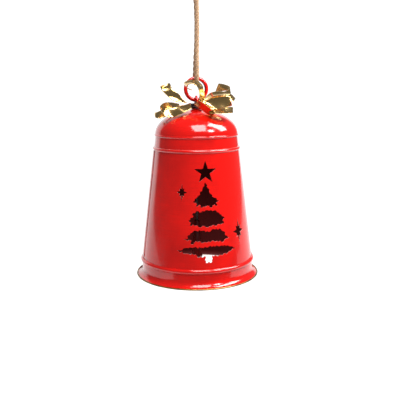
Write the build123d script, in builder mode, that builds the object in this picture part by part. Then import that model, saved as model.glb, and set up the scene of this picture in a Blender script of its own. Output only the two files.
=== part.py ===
"""A hanging Christmas bell of enamelled sheet steel, with a gold bow and a jute rope.

Millimetres, +Z up.  The origin is the hanging point: a hook passes between the two rope legs
there, just under the knot.  The tree that is cut in the body faces -Y.  Heights called h are
measured up from the rim plane of the bell, and level(h) turns them into Z.
"""

from build123d import *
import os
from math import asin, cos, degrees, hypot, pi, radians, sin, tan

# ---- driving dimensions ----------------------------------------------------------------------
HANG_H = 338.0            # hanging point above the rim plane
SHEET = 0.8               # sheet metal thickness
SEAM_GAP = 0.05           # solder or paint gap between sheets of the same assembly
FREE_GAP = 0.3            # gap between pieces that move on each other

BODY_FOOT_R = 69.77       # radius of the body's cone, continued down to the rim plane
BODY_TAPER = 0.1219       # loss of radius for each millimetre of height
BODY_BOTTOM_H = 18.6      # the body's lower edge, hidden in the skirt's bead
BODY_TOP_H = 169.4        # the body's upper edge, under the crown's bead
UPPER_BEAD_DROP = 14.1    # the body's raised bead, down from its upper edge
UPPER_BEAD_PROUD = 1.5
BEAD_HALF = 2.0           # half height of the beads on the body and skirt

DOME_OVERHANG = 0.38      # the dome's ellipse is this much wider than the body's upper edge
DOME_RISE = 29.0          # height of the dome's ellipse
CROWN_BEAD_PROUD = 0.7    # how far the crown's bead stands out past the dome
CROWN_NECK = 6.4          # how far the crown's neck reaches down inside the body

SKIRT_TOP_H = 22.4
SKIRT_BEAD_H = 19.6
SKIRT_BEAD_PROUD = 1.35
SKIRT_WAIST_R = 67.9
SKIRT_WAIST_H = 9.5
RIM_R = 75.0              # outer radius of the rolled lip
LIP_MINOR = 0.9           # half thickness of the rolled lip
LIP_WALL = 0.35
SEAM_WIDTH = 8.0          # lap seam down the back of the body

STAR_H, STAR_R, STAR_WAIST_R = 132.3, 13.3, 5.2
SPARKLES = [              # azimuth from the tree in degrees, height, tall size, wide size
    (-28.2, 109.9, 19.5, 13.0),
    (40.6, 61.4, 29.0, 20.5),
]

SPARKLE_REACH = (1.0, 0.40, 0.66, 0.40)   # long point, notch, short point, notch

TOOTH_PITCH = 2.0         # spacing and depth of the brush-like teeth round the tree's tiers
TOOTH_DEPTH = 0.85
CUT_START_R = BODY_FOOT_R / 3             # the cut-outs start this far out from the axis

RING_WIRE = 4.5
RING_R = 12.6             # centreline radius of the hanging ring
EYE_WIRE = 2.8
EYE_R = 5.2
SHANK_D = 4.0
SHANK_HOLE = 4.4
EYE_COLLAR_D = 7.0
WASHER_D, WASHER_T = 12.0, 1.0
NUT_AF, NUT_T = 7.0, 3.2

EYE_NUT_D, EYE_NUT_T = 8.0, 8.0
LOWER_EYE_WIRE, LOWER_EYE_R = 2.4, 4.4
LINK_WIRE, LINK_R, LINK_STRAIGHT = 2.0, 3.2, 7.4
ROD_D = 3.0
ROD_EYE_WIRE, ROD_EYE_R = 2.4, 3.6
CLAPPER_BOTTOM_H = 16.0
CLAPPER_TOP_H = 66.0
CLAPPER_R = 6.4
CLAPPER_NECK_R = 3.4

ROPE_D = 6.0
KNOT_R = 9.2
KNOT_T = 15.0
TAIL_L = 11.0
LEG_Y = 5.0               # half spacing of the rope legs where the hook passes

RIBBON_W = 12.0
RIBBON_T = 0.5
RIBBON_GAP = 0.6          # ribbons stay this far off the crown
TIE_WIRE = 1.4
TIE_R = 6.6
TIE_TURNS = 4

RIM_Z = -HANG_H


def level(h):
    """Z of a height above the rim plane."""
    return h + RIM_Z


def cone(h):
    """Outer radius of the body at a height above the rim plane."""
    return BODY_FOOT_R - BODY_TAPER * h


def face_plane(azimuth):
    """A vertical plane through the bell's axis that looks outwards at an angle from the tree."""
    a = radians(azimuth)
    return Plane(origin=(0, 0, 0), x_dir=(cos(a), sin(a), 0), z_dir=(sin(a), -cos(a), 0))


# ---- heights and radii that follow from the dimensions ---------------------------------------
UPPER_BEAD_H = BODY_TOP_H - UPPER_BEAD_DROP
DRAWN_LOW, DRAWN_HIGH = 22.4, 153.3       # the wall that the cut-outs below are drawn for
DRAWN_SCALE = (UPPER_BEAD_H - BEAD_HALF - SKIRT_TOP_H) / (DRAWN_HIGH - DRAWN_LOW)
DOME_R = cone(BODY_TOP_H) + DOME_OVERHANG
DOME_BASE_H = BODY_TOP_H + 2.1
DOME_TOP_H = DOME_BASE_H + DOME_RISE
CROWN_BEAD_H = BODY_TOP_H + 1.6
DOME_START_H = BODY_TOP_H + 3.1
DOME_START_ANGLE = degrees(asin((DOME_START_H - DOME_BASE_H) / DOME_RISE))
DOME_START_INNER = degrees(asin((DOME_START_H - DOME_BASE_H) / (DOME_RISE - SHEET)))

WASHER_H = DOME_TOP_H + SEAM_GAP
COLLAR_H = WASHER_H + WASHER_T + SEAM_GAP
COLLAR_T = 2.6
EYE_CENTRE_H = COLLAR_H + COLLAR_T - 0.5 + EYE_WIRE / 2 + EYE_R
EYE_TOP_WIRE_H = EYE_CENTRE_H + EYE_R
RING_LOW_WIRE_H = EYE_TOP_WIRE_H - EYE_WIRE / 2 - FREE_GAP - RING_WIRE / 2
RING_H = RING_LOW_WIRE_H + RING_R
RING_TOP_WIRE_H = RING_H + RING_R

DOME_INNER_R, DOME_INNER_RISE = DOME_R - SHEET, DOME_RISE - SHEET
UNDER_DOME_H = DOME_BASE_H + DOME_INNER_RISE * cos(asin(WASHER_D / 2 / DOME_INNER_R))
INNER_WASHER_H = UNDER_DOME_H - SEAM_GAP - WASHER_T
NUT_H = INNER_WASHER_H - SEAM_GAP - NUT_T
EYE_NUT_H = NUT_H - SEAM_GAP - EYE_NUT_T
SHANK_END_H = EYE_NUT_H + 2.0
LOWER_EYE_H = EYE_NUT_H - LOWER_EYE_R + 0.4
LINK_PIVOT_H = LOWER_EYE_H - LOWER_EYE_R
LINK_TOP_H = LINK_PIVOT_H + LOWER_EYE_WIRE / 2 + FREE_GAP + LINK_WIRE / 2
LINK_UPPER_H = LINK_TOP_H - LINK_R
LINK_LOWER_H = LINK_UPPER_H - LINK_STRAIGHT
CLAPPER_PIVOT_H = LINK_LOWER_H - LINK_R
ROD_EYE_H = CLAPPER_PIVOT_H + LINK_WIRE / 2 + FREE_GAP + ROD_EYE_WIRE / 2 - ROD_EYE_R
ROD_TOP_H = ROD_EYE_H - ROD_EYE_R
ROD_END_H = CLAPPER_BOTTOM_H + 12.0


# ---- the cut-outs: outlines as seen from the front, in x and height --------------------------
TIER_1 = [
    (0, 121.5), (2.5, 114.5), (5, 108.5), (9.5, 103.5), (15.5, 100), (11.5, 98), (13.5, 94.5),
    (8, 95), (6.5, 92.5), (1, 95), (-5.5, 92.5), (-6.5, 95.5), (-12, 94.5), (-10.5, 97),
    (-15, 100), (-8.5, 106.5), (-4, 114),
]
TIER_2 = [
    (1, 90), (11.5, 88.5), (15.5, 85), (18.5, 83.5), (18, 82), (22, 79), (19, 77), (21, 73),
    (15, 73), (11.5, 71.5), (8.5, 72.5), (1.5, 70.5), (-3, 72), (-9, 70.5), (-11.5, 73),
    (-19.5, 73), (-18, 76), (-20.5, 78.5), (-15, 83.5), (-16.5, 85), (-11.5, 89), (-6, 88),
]
TIER_3 = [
    (16.5, 67.5), (19, 64.5), (22, 62.5), (22.5, 59), (27, 56.5), (22.5, 55.5), (19.5, 52.5),
    (7.5, 54.5), (-4.5, 53), (-13, 55), (-16, 51.5), (-18.5, 51.5), (-18, 55.5), (-26.5, 56.5),
    (-21.5, 58.5), (-21.5, 61.5), (-16, 66), (-12.5, 67), (-5, 67), (2, 65), (5.5, 68),
]
TIER_4 = [
    (24.5, 47.5), (28.5, 45.5), (35, 43), (30, 41.5), (25, 39), (19, 38), (10.5, 37),
    (5.6, 38), (5, 30.5), (-2.5, 30), (-3, 38), (-4.5, 37), (-12, 36.5), (-14, 40),
    (-21, 40), (-25, 40.5), (-34, 43.5), (-28, 45), (-24, 47.5), (-15.5, 48), (-7, 47.5),
    (1.5, 48.5), (12.5, 48.5),
]


def wall_h(h):
    """A drawn height, moved to the free wall between the skirt and the raised bead."""
    return SKIRT_TOP_H + (h - DRAWN_LOW) * DRAWN_SCALE


def star_outline():
    """Five points round the star's centre."""
    points = []
    for k in range(10):
        radius = STAR_R if k % 2 == 0 else STAR_WAIST_R
        angle = radians(90 - 36 * k)
        points.append((radius * cos(angle), STAR_H + radius * sin(angle)))
    return points


def sparkle_outline(h, tall, wide):
    """Four long points with four short ones between them, taller than wide."""
    points = []
    for k in range(16):
        angle = pi / 2 - k * pi / 8
        reach = SPARKLE_REACH[k % 4] / 2
        points.append((reach * wide * cos(angle), h + reach * tall * sin(angle)))
    return points


def ragged(outline):
    """The outline with small uneven teeth along its sides, as a dry brush leaves them."""
    points = []
    tooth = 0
    for (x0, h0), (x1, h1) in zip(outline, outline[1:] + outline[:1]):
        points.append((x0, h0))
        length = hypot(x1 - x0, h1 - h0)
        steps = round(length / TOOTH_PITCH)
        for k in range(1, steps):
            tooth += 1
            out = TOOTH_DEPTH * (-1) ** tooth * (0.75 + 0.25 * sin(5 * tooth))
            t = k / steps
            points.append((x0 + (x1 - x0) * t - out * (h1 - h0) / length,
                           h0 + (h1 - h0) * t + out * (x1 - x0) / length))
    return points


def cut_window(outline, azimuth=0):
    """Cut an outline through the wall on one side of the axis only."""
    plane = face_plane(azimuth)
    with BuildSketch(plane.offset(CUT_START_R)) as window:
        with BuildLine():
            Polyline([(x, level(wall_h(h))) for x, h in outline], close=True)
        make_face()
    extrude(window.sketch, amount=BODY_FOOT_R, mode=Mode.SUBTRACT)


# ---- bell body -------------------------------------------------------------------------------
with BuildPart() as bell_body:
    with BuildSketch(Plane.XZ):
        with BuildLine():
            bead_low, bead_high = UPPER_BEAD_H - BEAD_HALF, UPPER_BEAD_H + BEAD_HALF
            bead_r = cone(UPPER_BEAD_H) + UPPER_BEAD_PROUD
            for inset in (0, SHEET):
                Line((cone(BODY_BOTTOM_H) - inset, level(BODY_BOTTOM_H)),
                     (cone(bead_low) - inset, level(bead_low)))
                ThreePointArc((cone(bead_low) - inset, level(bead_low)),
                              (bead_r - inset, level(UPPER_BEAD_H)),
                              (cone(bead_high) - inset, level(bead_high)))
                Line((cone(bead_high) - inset, level(bead_high)),
                     (cone(BODY_TOP_H) - inset, level(BODY_TOP_H)))
            for edge_h in (BODY_BOTTOM_H, BODY_TOP_H):
                Line((cone(edge_h), level(edge_h)), (cone(edge_h) - SHEET, level(edge_h)))
        make_face()
    revolve(axis=Axis.Z)
    # lap seam: the sheet's end, lying on the outside at the back
    seam_low, seam_high = SKIRT_TOP_H + 1.5, UPPER_BEAD_H - BEAD_HALF - 0.5
    seam_angle = degrees(SEAM_WIDTH / cone((seam_low + seam_high) / 2))
    with BuildSketch(face_plane(180 - seam_angle / 2)):
        with BuildLine():
            Polyline((cone(seam_low) - SHEET / 2, level(seam_low)),
                     (cone(seam_low) + SHEET, level(seam_low)),
                     (cone(seam_high) + SHEET, level(seam_high)),
                     (cone(seam_high) - SHEET / 2, level(seam_high)), close=True)
        make_face()
    revolve(axis=Axis.Z, revolution_arc=seam_angle)
    cut_window(star_outline())
    for tier in (TIER_1, TIER_2, TIER_3, TIER_4):
        cut_window(ragged(tier))
    for azimuth, h, tall, wide in SPARKLES:
        cut_window(sparkle_outline(h, tall, wide), azimuth)
bell_body.part.label = "bell_body"


# ---- crown cap -------------------------------------------------------------------------------
with BuildPart() as crown_cap:
    neck_low = BODY_TOP_H - CROWN_NECK
    rest_h = BODY_TOP_H + SEAM_GAP
    neck_r = {h: cone(h) - SHEET - SEAM_GAP for h in (neck_low, rest_h)}
    shoulder_r = DOME_R * cos(radians(DOME_START_ANGLE))
    inner_r = (DOME_R - SHEET) * cos(radians(DOME_START_INNER))
    with BuildSketch(Plane.XZ):
        with BuildLine():
            Polyline((inner_r, level(DOME_START_H)),
                     (neck_r[rest_h] - SHEET, level(rest_h + SHEET)),
                     (neck_r[rest_h] - SHEET, level(rest_h)),
                     (neck_r[neck_low] - SHEET, level(neck_low)),
                     (neck_r[neck_low], level(neck_low)),
                     (neck_r[rest_h], level(rest_h)),
                     (cone(rest_h), level(rest_h)))
            ThreePointArc((cone(rest_h), level(rest_h)),
                          (DOME_R + CROWN_BEAD_PROUD, level(CROWN_BEAD_H)),
                          (shoulder_r, level(DOME_START_H)))
            EllipticalCenterArc((0, level(DOME_BASE_H)), DOME_R, DOME_RISE,
                                DOME_START_ANGLE, arc_size=90 - DOME_START_ANGLE)
            Line((0, level(DOME_TOP_H)), (0, level(DOME_TOP_H - SHEET)))
            EllipticalCenterArc((0, level(DOME_BASE_H)), DOME_R - SHEET, DOME_RISE - SHEET,
                                DOME_START_INNER, arc_size=90 - DOME_START_INNER)
        make_face()
    revolve(axis=Axis.Z)
    with Locations((0, 0, level(DOME_TOP_H))):
        Hole(radius=SHANK_HOLE / 2, depth=3 * SHEET)
crown_cap.part.label = "crown_cap"


# ---- skirt, rolled lip and rim wire ----------------------------------------------------------
with BuildPart() as skirt_band:
    skirt_top_r = cone(SKIRT_TOP_H) + SEAM_GAP + SHEET
    bead_high = SKIRT_BEAD_H + BEAD_HALF + 0.7
    bead_low = SKIRT_BEAD_H - BEAD_HALF - 0.9
    skirt_bead_r = cone(SKIRT_BEAD_H) + SEAM_GAP + SHEET + SKIRT_BEAD_PROUD
    bead_top_r = cone(bead_high) + SEAM_GAP + SHEET
    flare_r = RIM_R - 2 * LIP_MINOR - SEAM_GAP
    with BuildSketch(Plane.XZ):
        with BuildLine():
            for inset in (0, SHEET):
                Line((skirt_top_r - inset, level(SKIRT_TOP_H)),
                     (bead_top_r - inset, level(bead_high)))
                ThreePointArc((bead_top_r - inset, level(bead_high)),
                              (skirt_bead_r - inset, level(SKIRT_BEAD_H)),
                              (SKIRT_WAIST_R - inset, level(bead_low)))
                Line((SKIRT_WAIST_R - inset, level(bead_low)),
                     (SKIRT_WAIST_R - inset, level(SKIRT_WAIST_H)))
                ThreePointArc((SKIRT_WAIST_R - inset, level(SKIRT_WAIST_H)),
                              (SKIRT_WAIST_R + 1.2 - inset * 0.7, level(4.8 - inset * 0.6)),
                              (flare_r, level(2 * LIP_MINOR - 0.4 - inset)))
            Line((skirt_top_r, level(SKIRT_TOP_H)), (skirt_top_r - SHEET, level(SKIRT_TOP_H)))
            Line((flare_r, level(2 * LIP_MINOR - 0.4)),
                 (flare_r, level(2 * LIP_MINOR - 0.4 - SHEET)))
        make_face()
    revolve(axis=Axis.Z)
skirt_band.part.label = "skirt_band"

with BuildPart() as lip_roll:
    with BuildSketch(Plane.XZ):
        with Locations((RIM_R - LIP_MINOR, level(LIP_MINOR))):
            Circle(LIP_MINOR)
            Circle(LIP_MINOR - LIP_WALL, mode=Mode.SUBTRACT)
    revolve(axis=Axis.Z)
lip_roll.part.label = "lip_roll"

with BuildPart() as rim_wire:
    with BuildSketch(Plane.XZ):
        with Locations((RIM_R - LIP_MINOR, level(LIP_MINOR))):
            Circle(LIP_MINOR - LIP_WALL - SEAM_GAP)
    revolve(axis=Axis.Z)
rim_wire.part.label = "rim_wire"


# ---- hanging ring, eye bolt, washers and nuts ------------------------------------------------
with BuildPart() as hanging_ring:
    with Locations((0, 0, level(RING_H))):
        Torus(RING_R, RING_WIRE / 2, rotation=(90, 0, 0))
hanging_ring.part.label = "hanging_ring"

with BuildPart() as crown_eye_bolt:
    with Locations((0, 0, level(EYE_CENTRE_H))):
        Torus(EYE_R, EYE_WIRE / 2, rotation=(0, 90, 0))
    with BuildSketch(Plane.XY.offset(level(COLLAR_H))):
        Circle(EYE_COLLAR_D / 2)
    extrude(amount=COLLAR_T)
    fillet(crown_eye_bolt.edges().filter_by(GeomType.CIRCLE).group_by(Axis.Z)[0], 0.4)
    with BuildSketch(Plane.XY.offset(level(SHANK_END_H))):
        Circle(SHANK_D / 2)
    extrude(amount=COLLAR_H - SHANK_END_H)
crown_eye_bolt.part.label = "crown_eye_bolt"


def plain_washer(h):
    """A flat washer round the shank, its lower face at a height above the rim plane."""
    with BuildSketch(Plane.XY.offset(level(h))) as disc:
        Circle(WASHER_D / 2)
        Circle(SHANK_HOLE / 2, mode=Mode.SUBTRACT)
    extrude(disc.sketch, amount=WASHER_T)


with BuildPart() as crown_washer:
    plain_washer(WASHER_H)
crown_washer.part.label = "crown_washer"

with BuildPart() as inner_washer:
    plain_washer(INNER_WASHER_H)
inner_washer.part.label = "inner_washer"

with BuildPart() as crown_nut:
    with BuildSketch(Plane.XY.offset(level(NUT_H))):
        RegularPolygon(NUT_AF / 2, 6, major_radius=False)
        Circle(SHANK_D / 2 + SEAM_GAP, mode=Mode.SUBTRACT)
    extrude(amount=NUT_T)
crown_nut.part.label = "crown_nut"

with BuildPart() as clapper_eye_nut:
    with BuildSketch(Plane.XY.offset(level(EYE_NUT_H))):
        Circle(EYE_NUT_D / 2)
    extrude(amount=EYE_NUT_T)
    with Locations((0, 0, level(LOWER_EYE_H))):
        Torus(LOWER_EYE_R, LOWER_EYE_WIRE / 2, rotation=(90, 0, 0))
    with Locations((0, 0, level(EYE_NUT_H + EYE_NUT_T))):
        Hole(radius=SHANK_D / 2 + SEAM_GAP, depth=EYE_NUT_H + EYE_NUT_T - SHANK_END_H + 0.5)
clapper_eye_nut.part.label = "clapper_eye_nut"


# ---- clapper: link, rod and weight -----------------------------------------------------------
with BuildPart() as clapper_link:
    upper, lower = level(LINK_UPPER_H), level(LINK_LOWER_H)
    with BuildLine(Plane.YZ):
        Line((LINK_R, lower), (LINK_R, upper))
        CenterArc((0, upper), LINK_R, 0, 180)
        Line((-LINK_R, upper), (-LINK_R, lower))
        CenterArc((0, lower), LINK_R, 180, 180)
    with BuildSketch(Plane.XY.offset(lower)):
        with Locations((0, LINK_R)):
            Circle(LINK_WIRE / 2)
    sweep(transition=Transition.ROUND)
clapper_link.part.label = "clapper_link"

with BuildPart() as clapper_rod:
    with Locations((0, 0, level(ROD_EYE_H))):
        Torus(ROD_EYE_R, ROD_EYE_WIRE / 2, rotation=(90, 0, 0))
    with BuildSketch(Plane.XY.offset(level(ROD_END_H))):
        Circle(ROD_D / 2)
    extrude(amount=ROD_TOP_H - ROD_END_H)
clapper_rod.part.label = "clapper_rod"

with BuildPart() as clapper_weight:
    bore_r = ROD_D / 2 + SEAM_GAP
    with BuildSketch(Plane.XZ):
        with BuildLine():
            belly_h = CLAPPER_BOTTOM_H + 7.0
            Line((0, level(CLAPPER_BOTTOM_H)), (CLAPPER_R - 2.6, level(CLAPPER_BOTTOM_H)))
            ThreePointArc((CLAPPER_R - 2.6, level(CLAPPER_BOTTOM_H)),
                          (CLAPPER_R - 0.5, level(CLAPPER_BOTTOM_H + 2.2)),
                          (CLAPPER_R, level(belly_h)))
            Line((CLAPPER_R, level(belly_h)), (CLAPPER_NECK_R, level(CLAPPER_TOP_H - 1.2)))
            Line((CLAPPER_NECK_R, level(CLAPPER_TOP_H - 1.2)),
                 (CLAPPER_NECK_R - 1.0, level(CLAPPER_TOP_H)))
            Line((CLAPPER_NECK_R - 1.0, level(CLAPPER_TOP_H)), (bore_r, level(CLAPPER_TOP_H)))
            Polyline((bore_r, level(CLAPPER_TOP_H)), (bore_r, level(ROD_END_H - 0.5)),
                     (0, level(ROD_END_H - 0.5)), (0, level(CLAPPER_BOTTOM_H)))
        make_face()
    revolve(axis=Axis.Z)
clapper_weight.part.label = "clapper_weight"


# ---- rope: one cord, doubled through the ring, its ends tied in an overhand knot --------------
BIGHT_Y = RING_WIRE / 2 + ROPE_D / 2 + FREE_GAP + 0.35
BIGHT_H = RING_TOP_WIRE_H - RING_WIRE / 2 - ROPE_D / 2 - FREE_GAP
ROPE_ROUTE = [            # x, y and height above the rim plane, front leg first
    (-0.3, -LEG_Y, HANG_H),
    (-0.3, -LEG_Y, 324.0),
    (0.8, -3.3, 298.0),
    (0.5, -3.2, 270.0),
    (0.2, -4.7, 252.0),
    (0.0, -BIGHT_Y, BIGHT_H),
    (0.0, BIGHT_Y, BIGHT_H),
    (0.3, 4.8, 252.0),
    (1.3, 3.2, 270.0),
    (2.2, 3.2, 298.0),
    (0.9, LEG_Y, 324.0),
    (0.9, LEG_Y, HANG_H),
]


def route_radii(route, tight_points, tight_radius):
    """Arc radius at each inner point: 0.45 of the shorter run, over the tangent of half the turn."""
    points = [Vector(x, y, level(h)) for x, y, h in route]
    radii = []
    for k in range(1, len(points) - 1):
        before = points[k] - points[k - 1]
        after = points[k + 1] - points[k]
        turn = radians(before.get_angle(after))
        arc = 0.45 * min(before.length, after.length) / tan(turn / 2)
        radii.append(tight_radius if k in tight_points else arc)
    return points, radii


with BuildPart() as hang_rope:
    bight_points = (5, 6)
    rope_points, rope_radii = route_radii(ROPE_ROUTE, bight_points, BIGHT_Y - 0.4)
    print("rope arc radii:", [round(r, 1) for r in rope_radii])
    with BuildLine():
        rope_line = FilletPolyline(*rope_points, radius=rope_radii)
    with BuildSketch(Plane(origin=rope_line @ 0, z_dir=rope_line % 0)):
        Circle(ROPE_D / 2)
    sweep()
    print("rope length", round(rope_line.length, 1),
          "volume ratio", round(hang_rope.part.volume / (pi * ROPE_D**2 / 4 * rope_line.length), 4))
hang_rope.part.label = "hang_rope"

with BuildPart() as rope_knot:
    with BuildSketch(Plane.XZ):
        with BuildLine():
            Polyline((0, KNOT_T), (0, 0), (KNOT_R - 0.8, 0))
            ThreePointArc((KNOT_R - 0.8, 0), (KNOT_R, KNOT_T * 0.35), (KNOT_R - 0.9, KNOT_T * 0.7))
            ThreePointArc((KNOT_R - 0.9, KNOT_T * 0.7), (KNOT_R * 0.8, KNOT_T * 0.92),
                          (KNOT_R * 0.55, KNOT_T))
            Line((KNOT_R * 0.55, KNOT_T), (0, KNOT_T))
        make_face()
    revolve(axis=Axis.Z)
rope_knot.part.label = "rope_knot"

with BuildPart() as rope_tails:
    with BuildSketch(Plane.XY.offset(KNOT_T)):
        with Locations((-ROPE_D / 2 - 0.2, 0.6), (ROPE_D / 2 + 0.2, -0.6)):
            Circle(ROPE_D / 2 - 0.2)
    extrude(amount=TAIL_L)
rope_tails.part.label = "rope_tails"


# ---- bow: strips of gold ribbon round the eye, held by a binding wire ------------------------
def ribbon_strip(root, along, across, path, bend):
    """A strip of ribbon: a bent line in the plane of `along`, as wide as the ribbon `across` it.

    The root is an x, a y and a height above the dome's top.
    """
    plane = Plane(origin=(root[0], root[1], level(DOME_TOP_H + root[2])), x_dir=along, z_dir=across)
    with BuildSketch(plane) as strip:
        with BuildLine():
            FilletPolyline(*path, radius=bend)
        trace(line_width=RIBBON_T)
    extrude(strip.sketch, amount=RIBBON_W / 2, both=True)
    # the ribbon stays off the crown
    off = RIBBON_GAP
    with BuildSketch(Plane.XZ) as crown:
        with BuildLine():
            EllipticalCenterArc((0, level(DOME_BASE_H)), DOME_R + off, DOME_RISE + off, 0, arc_size=90)
            Polyline((0, level(DOME_TOP_H + off)), (0, level(DOME_BASE_H)),
                     (DOME_R + off, level(DOME_BASE_H)))
        make_face()
    revolve(crown.sketch, axis=Axis.Z, mode=Mode.SUBTRACT)


with BuildPart() as bow_loop_upper_left:
    ribbon_strip((-9.0, -11.0, 7.0), (-0.72, -0.15, 0.68), (0.68, 0, 0.72),
                 [(0, 0), (13, 1.4), (29, 0.4), (35.5, -3.0), (31, -7.5), (9, -5.6)], 2.6)
bow_loop_upper_left.part.label = "bow_loop_upper_left"

with BuildPart() as bow_loop_lower_left:
    ribbon_strip((-9.0, -18.5, 2.7), (-0.97, 0.02, -0.06), (0, -0.25, 0.97),
                 [(0, 1), (15, 2.4), (27, 1.2), (32.5, -3), (26, -6), (9, -3.6)], 2.6)
bow_loop_lower_left.part.label = "bow_loop_lower_left"

with BuildPart() as bow_tail_left:
    ribbon_strip((-11.0, -1.6, 0.0), (-0.98, 0.08, -0.14), (-0.14, -0.1, 0.98),
                 [(0, 0), (20, -0.6), (34, 0), (39, 2.2), (36.5, 5.4), (33.5, 3.4)], 1.7)
bow_tail_left.part.label = "bow_tail_left"

with BuildPart() as bow_loop_centre:
    ribbon_strip((4.0, -15.0, 7.5), (0.2, 0.0, 0.98), (0.30, -0.85, -0.42),
                 [(0, 0), (10, 2.5), (19, -1.5), (24, -10), (22, -18.5), (16.5, -16)], 2.8)
bow_loop_centre.part.label = "bow_loop_centre"

with BuildPart() as bow_tail_front:
    ribbon_strip((3.5, -23.5, 5.0), (0.75, -0.12, -0.60), (0.62, -0.1, 0.77),
                 [(0, 0), (10, 1.6), (22, 1.0)], 6)
bow_tail_front.part.label = "bow_tail_front"

with BuildPart() as bow_loop_lower_right:
    ribbon_strip((17.0, -19.5, -2.1), (0.98, 0.1, -0.12), (0.1, -0.2, 0.97),
                 [(0, 0), (12, -1.4), (22, -0.6), (26.5, 3), (22, 6.4), (4, 4.4)], 2.4)
bow_loop_lower_right.part.label = "bow_loop_lower_right"

with BuildPart() as bow_loop_right:
    ribbon_strip((9.0, -9.8, 9.7), (0.98, 0.06, 0.04), (0.0, 0.40, 0.91),
                 [(0, 0), (14, -1.8), (27, -1.0), (32, 2.6), (27, 6.4), (9, 5.0)], 2.6)
bow_loop_right.part.label = "bow_loop_right"

with BuildPart() as bow_loop_upper_right:
    ribbon_strip((11.0, 9.5, 11.5), (0.93, 0, 0.34), (0.1, -0.9, 0.43),
                 [(0, 0), (14, 2.4), (27, 1.2), (31.5, 5.5), (26, 10.5), (13, 7.6)], 2.6)
bow_loop_upper_right.part.label = "bow_loop_upper_right"

with BuildPart() as bow_tail_right:
    ribbon_strip((12.0, 22.0, 4.0), (0.93, 0.08, 0.24), (0.3, -0.3, 0.9),
                 [(0, 0), (16, 1.6), (32, -0.8), (37.5, -4.5)], 5)
bow_tail_right.part.label = "bow_tail_right"

with BuildPart() as bow_tie_wire:
    for turn in range(TIE_TURNS):
        turn_h = COLLAR_H + TIE_WIRE / 2 + turn * (TIE_WIRE + SEAM_GAP)
        with Locations((0, 0, level(turn_h))):
            Torus(TIE_R, TIE_WIRE / 2)
bow_tie_wire.part.label = "bow_tie_wire"


# ---- one STEP file for each piece ------------------------------------------------------------
os.makedirs("parts", exist_ok=True)
for piece in (
    bell_body, crown_cap, skirt_band, lip_roll, rim_wire, hanging_ring, crown_eye_bolt,
    crown_washer, inner_washer, crown_nut, clapper_eye_nut, clapper_link, clapper_rod,
    clapper_weight, hang_rope, rope_knot, rope_tails, bow_loop_upper_left,
    bow_loop_lower_left, bow_tail_left, bow_loop_centre, bow_tail_front,
    bow_loop_lower_right, bow_loop_right, bow_loop_upper_right, bow_tail_right, bow_tie_wire,
):
    export_step(piece.part, f"parts/{piece.part.label}.step")
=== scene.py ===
"""The looks of a hanging Christmas bell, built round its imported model.

Sizes are in metres.  Heights called h are millimetres above the bell's mouth, x and y are
millimetres from its axis, and at(x, y, h) turns the three into a place in the model's frame.
"""

import math
import random

import bpy
import numpy as np
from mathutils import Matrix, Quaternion, Vector


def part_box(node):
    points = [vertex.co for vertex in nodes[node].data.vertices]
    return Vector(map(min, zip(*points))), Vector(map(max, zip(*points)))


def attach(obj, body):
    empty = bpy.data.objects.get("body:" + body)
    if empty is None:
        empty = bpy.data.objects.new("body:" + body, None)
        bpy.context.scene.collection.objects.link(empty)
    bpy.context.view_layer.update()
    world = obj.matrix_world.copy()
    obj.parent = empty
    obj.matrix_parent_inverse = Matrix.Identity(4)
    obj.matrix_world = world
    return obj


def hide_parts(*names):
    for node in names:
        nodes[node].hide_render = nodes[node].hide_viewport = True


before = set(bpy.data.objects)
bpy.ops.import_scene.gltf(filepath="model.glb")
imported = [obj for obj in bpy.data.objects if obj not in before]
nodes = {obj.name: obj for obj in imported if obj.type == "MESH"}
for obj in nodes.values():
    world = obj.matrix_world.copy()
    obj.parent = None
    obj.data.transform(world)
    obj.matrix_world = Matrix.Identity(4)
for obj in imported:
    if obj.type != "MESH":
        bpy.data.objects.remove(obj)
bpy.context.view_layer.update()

RIM_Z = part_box("lip_roll")[0][2]
MM = 0.001


def at(x, y, h):
    """A place given in millimetres from the axis and above the mouth."""
    return Vector((x * MM, y * MM, h * MM + RIM_Z))


# ---- camera ----------------------------------------------------------------------------------
VIEW_AZIMUTH = math.radians(-10.7)
LENS = 57.2               # focal length on the sensor, both in millimetres
SENSOR_WIDTH = 36.0
CAMERA_DISTANCE = 762.9
CAMERA_H = 239.6
CAMERA_PITCH = 0.193
CAMERA_YAW = math.radians(0.36)
CAMERA_ROLL = math.radians(0.35)


def make_camera():
    """The camera at the photograph's viewing angle."""
    data = bpy.data.cameras.new("camera")
    data.sensor_width = SENSOR_WIDTH
    data.lens = LENS
    data.dof.use_dof = False
    data.clip_start, data.clip_end = 0.05, 50
    cam = bpy.data.objects.new("camera", data)
    bpy.context.collection.objects.link(cam)
    a = VIEW_AZIMUTH
    cam.location = at(math.sin(a) * CAMERA_DISTANCE, -math.cos(a) * CAMERA_DISTANCE, CAMERA_H)
    cam.rotation_euler = (math.pi / 2 - CAMERA_PITCH, CAMERA_ROLL, a - CAMERA_YAW)
    bpy.context.scene.camera = cam


make_camera()


# ---- mesh helpers ----------------------------------------------------------------------------
def new_object(name, verts, faces, uvs=None, smooth=True):
    """A mesh object; uvs is one (u, v) for each vertex."""
    mesh = bpy.data.meshes.new(name)
    mesh.from_pydata([tuple(v) for v in verts], [], faces)
    if uvs is not None:
        layer = mesh.uv_layers.new(name="UVMap")
        for loop in mesh.loops:
            layer.data[loop.index].uv = uvs[loop.vertex_index]
    for polygon in mesh.polygons:
        polygon.use_smooth = smooth
    mesh.update()
    obj = bpy.data.objects.new(name, mesh)
    bpy.context.collection.objects.link(obj)
    return obj


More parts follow.
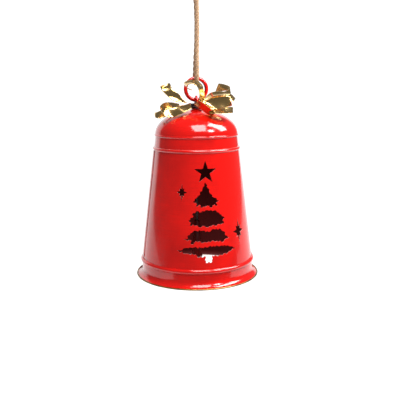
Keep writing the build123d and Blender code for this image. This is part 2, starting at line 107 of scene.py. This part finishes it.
def resample(points, step):
    """Points a fixed step apart along a line of points."""
    pts = np.array([tuple(p) for p in points])
    length = np.concatenate([[0], np.cumsum(np.linalg.norm(np.diff(pts, axis=0), axis=1))])
    count = max(2, int(round(length[-1] / step)) + 1)
    s = np.linspace(0, length[-1], count)
    return np.stack([np.interp(s, length, pts[:, k]) for k in range(3)], axis=1), s


def carried_frames(points):
    """Tangents and two normals that turn as little as possible along a line of points."""
    tangents = np.gradient(points, axis=0)
    tangents /= np.linalg.norm(tangents, axis=1)[:, None]
    first = np.array([1.0, 0, 0]) - tangents[0] * tangents[0][0]
    normals = [first / np.linalg.norm(first)]
    for t in tangents[1:]:
        n = normals[-1] - t * np.dot(normals[-1], t)
        normals.append(n / np.linalg.norm(n))
    normals = np.array(normals)
    return tangents, normals, np.cross(tangents, normals)


def tube(points, radii, sides, uv_length):
    """Vertices, faces and uvs of a closed tube with a radius at each point."""
    _, n, b = carried_frames(points)
    verts, faces, uvs = [], [], []
    for k, p in enumerate(points):
        for j in range(sides):
            a = 2 * math.pi * j / sides
            verts.append(p + radii[k] * (math.cos(a) * n[k] + math.sin(a) * b[k]))
            uvs.append((j / sides, k * uv_length))
    for k in range(len(points) - 1):
        for j in range(sides):
            i, m = k * sides + j, k * sides + (j + 1) % sides
            faces.append((i, m, m + sides, i + sides))
    last = (len(points) - 1) * sides
    faces.append(tuple(reversed(range(sides))))
    faces.append(tuple(last + j for j in range(sides)))
    return verts, faces, uvs


def join(parts):
    """Several (verts, faces, uvs) as one."""
    verts, faces, uvs = [], [], []
    for v, f, u in parts:
        base = len(verts)
        verts += list(v)
        faces += [tuple(i + base for i in face) for face in f]
        uvs += list(u)
    return verts, faces, uvs


def nurbs_line(name, points, resolution=24):
    """The smooth line of a NURBS curve through chosen control points, as points."""
    curve = bpy.data.curves.new(name, "CURVE")
    curve.dimensions = "3D"
    curve.resolution_u = resolution
    spline = curve.splines.new("NURBS")
    spline.points.add(len(points) - 1)
    for k, p in enumerate(points):
        spline.points[k].co = (*p, 1)
    spline.order_u = 3
    spline.use_endpoint_u = True
    obj = bpy.data.objects.new(name, curve)
    bpy.context.collection.objects.link(obj)
    bpy.context.view_layer.update()
    mesh = bpy.data.meshes.new_from_object(obj)
    line = [v.co.copy() for v in mesh.vertices]
    bpy.data.objects.remove(obj)
    bpy.data.curves.remove(curve)
    bpy.data.meshes.remove(mesh)
    return line


# ---- rope ------------------------------------------------------------------------------------
ROPE_D = 6.0
STRANDS = 3
STRAND_R = 1.5
SAMPLE_STEP = 0.0006      # distance between the sections of a strand, in metres
STRAND_TILE = 0.004       # length of strand that one turn of its texture covers, in metres
ROPE_LAY = 0.021          # length in which a strand winds once round the rope, in metres
KNOT_LAY = 0.019
ROPE_ROUTE = [            # x, y and h, front leg first
    (-0.3, -5.0, 338.0),
    (0.3, -5.0, 324.0),
    (1.0, -3.3, 298.0),
    (0.5, -3.2, 270.0),
    (0.2, -4.7, 252.0),
    (0.0, -5.9, 231.2),
    (0.0, 5.9, 231.2),
    (0.3, 4.8, 252.0),
    (1.3, 3.2, 270.0),
    (2.4, 3.2, 298.0),
    (1.6, 5.0, 324.0),
    (0.9, 5.0, 338.0),
]


def twisted_rope(line, strand_count, lay, strand_r, turn=0.0, rope_d=ROPE_D):
    """Strands that wind round a line: (verts, faces, uvs)."""
    points, s = resample(line, SAMPLE_STEP)
    _, n, b = carried_frames(points)
    offset = rope_d * MM / 2 - strand_r
    parts = []
    for k in range(strand_count):
        a = turn + 2 * math.pi * (s / lay + k / strand_count)
        centres = points + offset * (np.cos(a)[:, None] * n + np.sin(a)[:, None] * b)
        rng = np.random.default_rng(10 + k)
        swell = np.interp(s, np.linspace(0, s[-1], 40), rng.uniform(0.93, 1.05, 40))
        parts.append(tube(centres, strand_r * swell, 10, SAMPLE_STEP / STRAND_TILE))
    return join(parts)


def frayed_end(base, direction, count, seed):
    """A tuft of fibres where a rope's leg is cut."""
    rng = random.Random(seed)
    side = direction.orthogonal().normalized()
    parts = []
    for _ in range(count):
        out = Quaternion(direction, rng.uniform(0, 2 * math.pi)) @ side
        start = base + out * rng.uniform(0.2, 2.4) * MM
        length = rng.uniform(2.0, 4.2) * MM
        spread = rng.uniform(0.05, 0.45)
        line = [start + (direction * t + out * (spread * t * t)) * length
                for t in (0, 0.25, 0.5, 0.75, 1)]
        radii = np.linspace(0.11, 0.04, 5) * MM
        parts.append(tube(np.array([tuple(p) for p in line]), radii, 4, 0.25))
    return parts


def loose_fibres(line, count, seed):
    """Short hairs that stand off the rope."""
    points, s = resample(line, SAMPLE_STEP)
    tangents, n, b = carried_frames(points)
    rng = random.Random(seed)
    parts = []
    for _ in range(count):
        k = rng.randrange(12, len(points) - 12)
        a = rng.uniform(0, 2 * math.pi)
        out = math.cos(a) * n[k] + math.sin(a) * b[k]
        start = points[k] + out * ROPE_D * MM * 0.46
        length = rng.uniform(0.8, 2.2) * MM
        lean = tangents[k] * rng.uniform(-1.2, 1.2)
        curl = np.cross(out, tangents[k]) * rng.uniform(-0.8, 0.8)
        line_points = [start + length * (t * lean + math.sqrt(t) * 0.55 * out + t * t * curl)
                       for t in np.linspace(0, 1, 5)]
        parts.append(tube(np.array(line_points), np.linspace(0.07, 0.03, 5) * MM, 4, 0.25))
    return join(parts)


rope_line = nurbs_line("rope_route", [at(*p) for p in ROPE_ROUTE])
hang_rope = new_object("rope_strands", *twisted_rope(rope_line, STRANDS, ROPE_LAY, STRAND_R * MM))
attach(hang_rope, "rope")
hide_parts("hang_rope")
rope_hairs = new_object("rope_hairs", *loose_fibres(rope_line, 260, 4))
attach(rope_hairs, "rope")
KNOT_ROUTE = [            # the rope's end wound round both legs, and tucked up through the middle
    (-2.6, 0.4, 340.0), (-5.4, -1.2, 341.0), (-4.4, -4.4, 341.4), (0, -6.1, 342.0), (4.6, -4.0, 342.6),
    (6.0, 0.4, 343.4), (4.2, 4.4, 344.2), (0, 6.0, 345.0), (-4.4, 4.2, 345.8), (-6.0, -0.4, 346.6),
    (-4.2, -4.2, 347.4), (0.2, -5.6, 348.4), (4.0, -3.6, 349.2), (5.0, 0.4, 349.4), (3.0, 3.2, 349.2),
    (0.2, 2.2, 347.0),
]
TAIL_ROUTES = [
    [(-1.4, -1.0, 345.0), (-2.6, 0.2, 351.0), (-3.2, 0.6, 356.0), (-3.4, 0.8, 359.6)],
    [(1.6, 1.0, 345.0), (2.8, -0.2, 351.0), (3.2, -0.6, 355.0), (3.4, -0.8, 358.8)],
]
KNOT_ROPE_D = 5.4         # the rope is drawn tight in its knot


def rope_along(name, route, rope_d):
    """The smooth line of a route, and the strands wound round it."""
    line = nurbs_line(name, [at(*p) for p in route])
    return line, twisted_rope(line, STRANDS, KNOT_LAY, rope_d * MM / 4, rope_d=rope_d)


_, knot_mesh = rope_along("knot_route", KNOT_ROUTE, KNOT_ROPE_D)
rope_knot = new_object("rope_knot_wound", *knot_mesh)
tail_parts = []
for k, route in enumerate(TAIL_ROUTES):
    tail_line, tail_mesh = rope_along("tail_route", route, KNOT_ROPE_D)
    tail_parts.append(tail_mesh)
    end = (tail_line[-1] - tail_line[-3]).normalized()
    tail_parts += frayed_end(tail_line[-1] - end * 0.4 * MM, end, 70, 30 + k)
rope_tails = new_object("rope_tails_frayed", *join(tail_parts))
for piece, node in ((rope_knot, "rope_knot"), (rope_tails, "rope_tails")):
    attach(piece, "rope")
    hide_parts(node)


# ---- bow -------------------------------------------------------------------------------------
RIBBON_T = 0.24           # thickness, in millimetres like all that follows
ACROSS = 10               # quads across a ribbon
ALONG = 12                # sections in each run between two stations
CROWN_CLEARANCE = 1.0
# Stations along each ribbon: its two edges, each an x, a y and an h.  These numbers were written by
# another program, from edges read by eye off the photograph; report.md says how.
RIBBONS = {
    "bow_loop_upper_left": [
        ((-22.5, -11.5, 209), (-12, -6, 208.5)), ((-28.5, -9.5, 211), (-16.5, -8, 212.5)),
        ((-34.5, -5.5, 216), (-22, -8, 219)), ((-40, -4.5, 221.5), (-28, -7, 223)),
        ((-42, -2.5, 225), (-30, -4.5, 226.5)), ((-42.5, 0, 227), (-30.5, -1.5, 229.5)),
        ((-42, -2, 228.5), (-31.5, 3, 231.5)), ((-41, 0, 224.5), (-30.5, 5.5, 226.5)),
        ((-36.5, 1.5, 218.5), (-25.5, 7, 219.5)), ((-27.5, -2, 211.5), (-17, 4.5, 212.5)),
    ],
    "bow_loop_lower_left": [
        ((-9.5, -17.5, 209), (-11, -28, 203)), ((-16.5, -18.5, 207), (-15, -28, 200.5)),
        ((-25, -19.5, 205.5), (-22, -27.5, 197)), ((-35, -20, 203), (-29, -23, 193)),
        ((-43, -18.5, 201.5), (-37.5, -25, 193)), ((-45, -13, 203), (-42, -22.5, 197)),
        ((-43.5, -7, 206), (-41, -17.5, 200)), ((-38, -4, 209), (-37, -14, 202.5)),
        ((-28.5, -4, 209), (-29, -14.5, 203.5)), ((-21, -4, 207.5), (-22, -15.5, 204)),
    ],
    "bow_tail_left": [
        ((-22, 1, 204.5), (-23, -9, 197.5)), ((-33, 1, 203), (-33, -7.5, 194.5)),
        ((-40.5, 1.5, 200.5), (-39.5, -7, 192)), ((-46.5, 1.5, 198), (-46, -8.5, 191)),
        ((-49, 5, 197), (-49.5, -6, 192)), ((-48, 9, 196), (-48.5, -2, 191.5)),
        ((-45.5, 9.5, 196), (-45.5, -1.5, 192)),
    ],
    "bow_loop_centre": [
        ((-3.5, -26, 208.5), (4, -17, 208.5)), ((-1, -25.5, 214.5), (7, -16.5, 214.5)),
        ((-1.5, -26.5, 221), (6, -17.5, 221.5)), ((-3, -27.5, 226), (4, -18, 229)),
        ((-6.5, -28.5, 230), (-2, -18, 234)), ((-11, -28.5, 230.5), (-9, -17.5, 235)),
        ((-15.5, -26.5, 228.5), (-16.5, -15, 232.5)), ((-14, -24, 225), (-14.5, -12.5, 227.5)),
        ((-8.5, -23, 223), (-9.5, -11.5, 225)),
    ],
    "bow_tail_front": [
        ((-2.5, -29.5, 212.5), (-6, -19.5, 207)), ((2.5, -33, 209), (-1, -23.5, 203)),
        ((9, -36.5, 204), (5.5, -26.5, 198)), ((15, -40.5, 198.5), (12, -30, 193.5)),
    ],
    "bow_loop_right": [
        ((1.5, -12.5, 212), (4.5, -21.5, 205)), ((12, -14.5, 214), (20.5, -16, 199.5)),
        ((22.5, -13.5, 216), (28.5, -14.5, 201.5)), ((34, -12.5, 216.5), (36.5, -13, 203.5)),
        ((40, -9.5, 215.5), (40, -16.5, 205.5)), ((36.5, -5, 217), (36.5, -12.5, 207.5)),
        ((23, -1.5, 217), (22.5, -10.5, 209.5)), ((9, -1.5, 213.5), (8.5, -12.5, 208.5)),
    ],
    "bow_loop_lower_right": [
        ((9, -27, 202), (8.5, -38, 197)), ((19, -30, 201.5), (17.5, -41, 197.5)),
        ((29, -30, 203.5), (28, -40, 197)), ((36.5, -25, 204), (35.5, -35.5, 197.5)),
        ((40.5, -20, 202.5), (37.5, -31, 198.5)), ((37.5, -15.5, 202), (36, -26.5, 198)),
    ],
    "bow_loop_upper_right": [
        ((8, -5.5, 212), (7.5, -17, 209)), ((15, -9, 219.5), (15.5, -20.5, 215.5)),
        ((23, -12.5, 222), (22, -23.5, 217)), ((31, -15, 221.5), (29.5, -26, 217.5)),
        ((38, -12, 224.5), (36.5, -22.5, 219)), ((39, -4.5, 227.5), (37, -15, 222.5)),
        ((32.5, 3, 230), (32, -6, 222)), ((28.5, 5, 230.5), (23.5, 1, 220.5)),
    ],
    "bow_tail_right": [
        ((27, 7, 213), (25.5, -3.5, 208)), ((35, 6.5, 215.5), (32, -4, 211)),
        ((42.5, 3, 218), (38.5, -7.5, 214)), ((48, -1, 213), (43, -11, 209)),
    ],
}


def smooth_through(points, steps):
    """A Catmull-Rom line through points, a fixed number of steps in each run."""
    p = np.array(points, float)
    p = np.vstack([2 * p[0] - p[1], p, 2 * p[-1] - p[-2]])
    line = []
    for k in range(1, len(p) - 2):
        for t in np.arange(steps) / steps:
            line.append(0.5 * (2 * p[k] + (p[k + 1] - p[k - 1]) * t
                               + (2 * p[k - 1] - 5 * p[k] + 4 * p[k + 1] - p[k + 2]) * t ** 2
                               + (3 * p[k] - p[k - 1] - 3 * p[k + 1] + p[k + 2]) * t ** 3))
    return np.array(line + [p[-2]])


crown_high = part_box("crown_cap")[1]
CROWN_R = 49.5            # radius and rise of the dome that the ribbons keep clear of
CROWN_RISE = 29.0
CROWN_BASE = (crown_high[2] - RIM_Z) / MM - CROWN_RISE


def off_the_crown(place):
    """The place, pushed out along the dome's own shape if it is nearer than the clearance."""
    a, c = CROWN_R + CROWN_CLEARANCE, CROWN_RISE + CROWN_CLEARANCE
    rise = place[2] - CROWN_BASE
    depth = math.sqrt((place[0] ** 2 + place[1] ** 2) / a ** 2 + max(rise, 0) ** 2 / c ** 2)
    if rise < 0 or depth >= 1:
        return place
    return np.array([place[0] / depth, place[1] / depth, CROWN_BASE + rise / depth])


def ribbon(name, stations, seed):
    """A strip of thin foil through its stations, slightly crowned and dented, as a closed solid."""
    left = smooth_through([s[0] for s in stations], ALONG)
    right = smooth_through([s[1] for s in stations], ALONG)
    rng = np.random.default_rng(seed)
    phase = rng.uniform(0, 6.28, 4)
    count = len(left)
    along = np.gradient((left + right) / 2, axis=0)
    grid = np.zeros((count, ACROSS + 1, 3))
    normal = np.zeros_like(grid)
    for k in range(count):
        side = right[k] - left[k]
        n = np.cross(along[k], side)
        n /= max(np.linalg.norm(n), 1e-9)
        for j in range(ACROSS + 1):
            u = j / ACROSS
            crown = 0.45 * 4 * u * (1 - u)
            dent = (0.10 * math.sin(0.16 * k + phase[0] + 1.5 * u)
                    + 0.03 * math.sin(0.4 * k + phase[1] - 3 * u))
            grid[k, j] = off_the_crown(left[k] + side * u + n * (crown + dent))
            normal[k, j] = n
    verts, uvs, faces = [], [], []
    for half in (0.5, -0.5):
        for k in range(count):
            for j in range(ACROSS + 1):
                p = grid[k, j] + normal[k, j] * RIBBON_T * half
                verts.append(at(*p))
                uvs.append((j / ACROSS, k / ALONG))
    width, layer = ACROSS + 1, count * (ACROSS + 1)
    for k in range(count - 1):
        for j in range(ACROSS):
            i = k * width + j
            faces.append((i, i + 1, i + 1 + width, i + width))
            faces.append((layer + i, layer + i + width, layer + i + 1 + width, layer + i + 1))
    rim = ([j for j in range(width)] + [k * width + ACROSS for k in range(1, count)]
           + [(count - 1) * width + j for j in range(ACROSS - 1, -1, -1)]
           + [k * width for k in range(count - 2, 0, -1)])
    for a, b in zip(rim, rim[1:] + rim[:1]):
        faces.append((a, layer + a, layer + b, b))
    return new_object(name, verts, faces, uvs)


ribbons = []
for seed, (node, stations) in enumerate(RIBBONS.items()):
    piece = ribbon(node + "_foil", stations, seed)
    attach(piece, "bell")
    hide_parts(node)
    ribbons.append(piece)


# ---- node material helpers -------------------------------------------------------------------
class Shader:
    """A material's node tree with short names for what this script uses."""

    def __init__(self, name):
        self.material = bpy.data.materials.new(name)
        self.material.use_nodes = True
        self.tree = self.material.node_tree
        self.bsdf = self.tree.nodes["Principled BSDF"]

    def node(self, kind, **values):
        made = self.tree.nodes.new(kind)
        for key, value in values.items():
            setattr(made, key, value)
        return made

    def link(self, output, target):
        self.tree.links.new(output, target)

    def value(self, name, number):
        self.bsdf.inputs[name].default_value = number

    def feed(self, socket, source):
        """A number or colour is set on the socket; an output is linked to it."""
        if isinstance(source, bpy.types.NodeSocket):
            self.link(source, socket)
        else:
            socket.default_value = source

    def coordinates(self, kind="Object"):
        return self.node("ShaderNodeTexCoord").outputs[kind]

    def mapped(self, vector, scale):
        made = self.node("ShaderNodeMapping")
        self.link(vector, made.inputs["Vector"])
        made.inputs["Scale"].default_value = scale
        return made.outputs["Vector"]

    def noise(self, vector, scale, detail=3.0, roughness=0.5):
        made = self.node("ShaderNodeTexNoise")
        self.link(vector, made.inputs["Vector"])
        made.inputs["Scale"].default_value = scale
        made.inputs["Detail"].default_value = detail
        made.inputs["Roughness"].default_value = roughness
        return made.outputs["Fac"]

    def math(self, operation, a, b=0.0, clamp=False):
        made = self.node("ShaderNodeMath", operation=operation, use_clamp=clamp)
        self.feed(made.inputs[0], a)
        self.feed(made.inputs[1], b)
        return made.outputs[0]

    def ramp(self, factor, low, high, to_low=0.0, to_high=1.0):
        made = self.node("ShaderNodeMapRange")
        self.link(factor, made.inputs["Value"])
        made.inputs["From Min"].default_value = low
        made.inputs["From Max"].default_value = high
        made.inputs["To Min"].default_value = to_low
        made.inputs["To Max"].default_value = to_high
        return made.outputs["Result"]

    def mix(self, factor, a, b):
        made = self.node("ShaderNodeMix", data_type="RGBA")
        self.feed(made.inputs[0], factor)
        self.feed(made.inputs[6], a)
        self.feed(made.inputs[7], b)
        return made.outputs[2]

    def bump(self, height, strength, distance):
        made = self.node("ShaderNodeBump")
        made.inputs["Strength"].default_value = strength
        made.inputs["Distance"].default_value = distance
        self.link(height, made.inputs["Height"])
        self.link(made.outputs["Normal"], self.bsdf.inputs["Normal"])

    def outwardness(self):
        """How far the surface faces away from the bell's axis, from -1 to 1."""
        flat = self.node("ShaderNodeVectorMath", operation="MULTIPLY")
        self.link(self.coordinates("Object"), flat.inputs[0])
        flat.inputs[1].default_value = (1, 1, 0)
        unit = self.node("ShaderNodeVectorMath", operation="NORMALIZE")
        self.link(flat.outputs[0], unit.inputs[0])
        dot = self.node("ShaderNodeVectorMath", operation="DOT_PRODUCT")
        self.link(unit.outputs[0], dot.inputs[0])
        self.link(self.coordinates("Normal"), dot.inputs[1])
        return dot.outputs["Value"]


RED = (0.70, 0.004, 0.0015, 1)
RED_DEEP = (0.48, 0.003, 0.0015, 1)
# Painted shade: the dark red that the enamel's inward-facing surfaces take, standing in for the shade
# inside the bell.
INSIDE_SHADE_RED = (0.085, 0.010, 0.010, 1)
CUT_EDGE = (0.62, 0.22, 0.20, 1)


def red_enamel(name, edges=False):
    """Glossy red enamel with faint drawn lines round the metal; duller inside, and darkened there with
    painted shade.
    """
    s = Shader(name)
    where = s.coordinates("Object")
    lines = s.noise(s.mapped(where, (40, 40, 900)), 1.0, 4, 0.6)
    blotches = s.noise(where, 28, 3)
    colour = s.mix(s.ramp(blotches, 0.35, 0.7), RED, RED_DEEP)
    colour = s.mix(s.ramp(lines, 0.35, 0.75, 0.0, 0.5), colour, RED_DEEP)
    facing = s.outwardness()
    inside = s.ramp(facing, -0.35, -0.6)
    # Painted shade: surfaces that face the axis are darkened towards the inside red.
    colour = s.mix(inside, colour, INSIDE_SHADE_RED)
    if edges:
        side = s.math("MULTIPLY", s.ramp(facing, 0.45, 0.3), s.ramp(facing, -0.45, -0.3))
        colour = s.mix(side, colour, CUT_EDGE)
    s.link(colour, s.bsdf.inputs["Base Color"])
    s.link(s.math("MAXIMUM", s.ramp(lines, 0.3, 0.8, 0.10, 0.22), s.math("MULTIPLY", inside, 0.65)),
           s.bsdf.inputs["Roughness"])
    s.link(inside, s.bsdf.inputs["Metallic"])
    s.value("IOR", 1.45)
    s.link(s.math("SUBTRACT", 0.45, s.math("MULTIPLY", inside, 0.45), clamp=True),
           s.bsdf.inputs["Coat Weight"])
    s.value("Coat Roughness", 0.04)
    s.value("Coat IOR", 1.6)
    s.bump(s.math("ADD", s.math("MULTIPLY", lines, 0.5), s.noise(where, 220, 2)), 0.12, 0.0004)
    return s.material


def gold_lip():
    """Worn brown-gold of the rolled mouth."""
    s = Shader("gold_lip")
    where = s.coordinates("Object")
    patches = s.noise(where, 90, 4, 0.65)
    s.link(s.mix(s.ramp(patches, 0.38, 0.62), (0.34, 0.20, 0.06, 1), (0.15, 0.065, 0.02, 1)),
           s.bsdf.inputs["Base Color"])
    s.value("Metallic", 0.85)
    s.link(s.ramp(patches, 0.3, 0.7, 0.22, 0.5), s.bsdf.inputs["Roughness"])
    s.bump(s.noise(where, 900, 3), 0.25, 0.0003)
    return s.material


def plain_metal(name, colour, dark, rough):
    """Drawn steel, patchy between two colours."""
    s = Shader(name)
    where = s.coordinates("Object")
    patches = s.noise(where, 160, 4, 0.6)
    s.link(s.mix(s.ramp(patches, 0.35, 0.7), colour, dark), s.bsdf.inputs["Base Color"])
    s.value("Metallic", 1.0)
    s.link(s.ramp(patches, 0.3, 0.7, rough, rough + 0.2), s.bsdf.inputs["Roughness"])
    s.bump(s.noise(s.mapped(where, (300, 300, 2500)), 1.0, 3), 0.2, 0.0002)
    return s.material


def clapper_enamel():
    """Dark red glossy enamel of the clapper."""
    s = Shader("clapper_enamel")
    where = s.coordinates("Object")
    patches = s.noise(where, 60, 4, 0.6)
    s.link(s.mix(s.ramp(patches, 0.35, 0.7), (0.13, 0.007, 0.006, 1), (0.07, 0.005, 0.005, 1)),
           s.bsdf.inputs["Base Color"])
    s.link(s.ramp(patches, 0.3, 0.7, 0.15, 0.35), s.bsdf.inputs["Roughness"])
    s.value("Coat Weight", 0.5)
    s.bump(s.noise(where, 400, 3), 0.2, 0.0004)
    return s.material


def dark_wire():
    """Nearly black wire that ties the bow; its black is partly the wire's own colour and partly
    painted shade at the bow's centre.
    """
    s = Shader("dark_wire")
    where = s.coordinates("Object")
    patches = s.noise(where, 300, 3)
    s.link(s.mix(patches, (0.012, 0.008, 0.008, 1), (0.035, 0.015, 0.012, 1)),
           s.bsdf.inputs["Base Color"])
    s.link(s.ramp(patches, 0.3, 0.7, 0.2, 0.4), s.bsdf.inputs["Roughness"])
    s.bump(s.noise(where, 1200, 3), 0.2, 0.0002)
    return s.material


def gold_ribbon():
    """Thin gold foil ribbon with fine lines along it and soft dents."""
    s = Shader("gold_ribbon")
    uv = s.coordinates("UV")
    where = s.coordinates("Object")
    lines = s.noise(s.mapped(uv, (60, 3, 1)), 1.0, 4, 0.6)
    dents = s.noise(where, 130, 2)
    s.link(s.mix(s.ramp(lines, 0.35, 0.7), (0.80, 0.55, 0.24, 1), (0.66, 0.42, 0.15, 1)),
           s.bsdf.inputs["Base Color"])
    s.value("Metallic", 1.0)
    s.link(s.ramp(lines, 0.3, 0.75, 0.14, 0.26), s.bsdf.inputs["Roughness"])
    s.bump(s.math("ADD", s.math("MULTIPLY", lines, 0.25), dents), 0.10, 0.0004)
    return s.material


def jute():
    """Pale brown fibres that run along each strand."""
    s = Shader("jute")
    uv = s.coordinates("UV")
    fibres = s.noise(s.mapped(uv, (14, 0.9, 1)), 1.0, 5, 0.7)
    patches = s.noise(s.coordinates("Object"), 180, 3)
    colour = s.mix(s.ramp(fibres, 0.32, 0.68), (0.20, 0.10, 0.045, 1), (0.60, 0.38, 0.22, 1))
    colour = s.mix(s.ramp(patches, 0.4, 0.75, 0, 0.5), colour, (0.47, 0.28, 0.15, 1))
    s.link(colour, s.bsdf.inputs["Base Color"])
    s.value("Roughness", 0.85)
    s.value("Sheen Weight", 0.25)
    s.bump(fibres, 0.8, 0.0005)
    return s.material


def paint(name, material):
    """Give a CAD node a material."""
    slots = nodes[name].data.materials
    if len(slots) == 0:
        slots.append(material)
    for k in range(len(slots)):
        slots[k] = material


body_red = red_enamel("red_enamel_body", edges=True)
plain_red = red_enamel("red_enamel")
ring_red = red_enamel("red_enamel_ring")
jute_material = jute()
ribbon_gold = gold_ribbon()
steel = plain_metal("plain_steel", (0.20, 0.17, 0.16, 1), (0.11, 0.09, 0.085, 1), 0.42)
paint("bell_body", body_red)
for name in ("crown_cap", "skirt_band"):
    paint(name, plain_red)
for name in ("hanging_ring", "crown_eye_bolt", "crown_washer"):
    paint(name, ring_red)
paint("lip_roll", gold_lip())
for name in ("rim_wire", "inner_washer", "crown_nut", "clapper_eye_nut", "clapper_link",
             "clapper_rod"):
    paint(name, steel)
paint("clapper_weight", clapper_enamel())
# The tie wire's near-black is partly its own colour and partly painted shade filling the bow's centre.
paint("bow_tie_wire", dark_wire())
for obj in (hang_rope, rope_hairs, rope_knot, rope_tails):
    obj.data.materials.append(jute_material)
for obj in ribbons:
    obj.data.materials.append(ribbon_gold)


# ---- floor, world and lights -----------------------------------------------------------------
def make_floor():
    """A pale floor far below the bell, which reaches back behind it."""
    half_width, front, back, drop = 4.0, -0.7, 9.0, 0.42
    z = RIM_Z - drop
    floor = new_object("floor", [(-half_width, front, z), (half_width, front, z),
                                 (half_width, back, z), (-half_width, back, z)],
                       [(0, 1, 2, 3)], smooth=False)
    s = Shader("floor")
    s.value("Base Color", (0.38, 0.38, 0.38, 1))
    s.value("Roughness", 0.9)
    s.value("Emission Color", (1, 1, 1, 1))
    s.value("Emission Strength", 0.95)
    floor.data.materials.append(s.material)


WALL_TURN = -0.12         # how far the white wall reaches round to one side
WALL_START, WALL_FULL = 0.70, 0.80
ROOM_STRENGTH, WALL_STRENGTH = 0.16, 1.25


def make_world():
    """A bright white studio wall behind, and a dimmer room in front."""
    world = bpy.data.worlds.new("studio")
    bpy.context.scene.world = world
    world.use_nodes = True
    tree = world.node_tree
    back = tree.nodes["Background"]
    where = tree.nodes.new("ShaderNodeTexCoord").outputs["Generated"]
    split = tree.nodes.new("ShaderNodeSeparateXYZ")
    tree.links.new(where, split.inputs[0])
    side = tree.nodes.new("ShaderNodeMath")
    side.operation = "MULTIPLY_ADD"
    tree.links.new(split.outputs["X"], side.inputs[0])
    side.inputs[1].default_value = WALL_TURN
    tree.links.new(split.outputs["Y"], side.inputs[2])
    ramp = tree.nodes.new("ShaderNodeMapRange")
    tree.links.new(side.outputs[0], ramp.inputs["Value"])
    ramp.inputs["From Min"].default_value = WALL_START
    ramp.inputs["From Max"].default_value = WALL_FULL
    ramp.inputs["To Min"].default_value = ROOM_STRENGTH
    ramp.inputs["To Max"].default_value = WALL_STRENGTH
    tree.links.new(ramp.outputs["Result"], back.inputs["Strength"])
    back.inputs["Color"].default_value = (1, 1, 1, 1)


def area_light(name, place, target, size, power, size_y=None):
    """A soft light at a place, turned to a target."""
    data = bpy.data.lights.new(name, "AREA")
    data.energy = power
    data.size = size
    if size_y:
        data.shape = "RECTANGLE"
        data.size_y = size_y
    light = bpy.data.objects.new(name, data)
    bpy.context.collection.objects.link(light)
    light.location = place
    light.rotation_euler = (target - place).to_track_quat("-Z", "Y").to_euler()


make_floor()
make_world()
area_light("softbox_top", at(20, -640, 1200), at(0, 0, 185), 0.62, 17, 0.85)
area_light("softbox_right", at(800, -160, 1050), at(0, 0, 185), 0.5, 23, 0.95)
area_light("softbox_middle", at(640, -900, 1000), at(0, 0, 100), 0.3, 9, 0.3)
bpy.context.scene.view_settings.view_transform = "Standard"
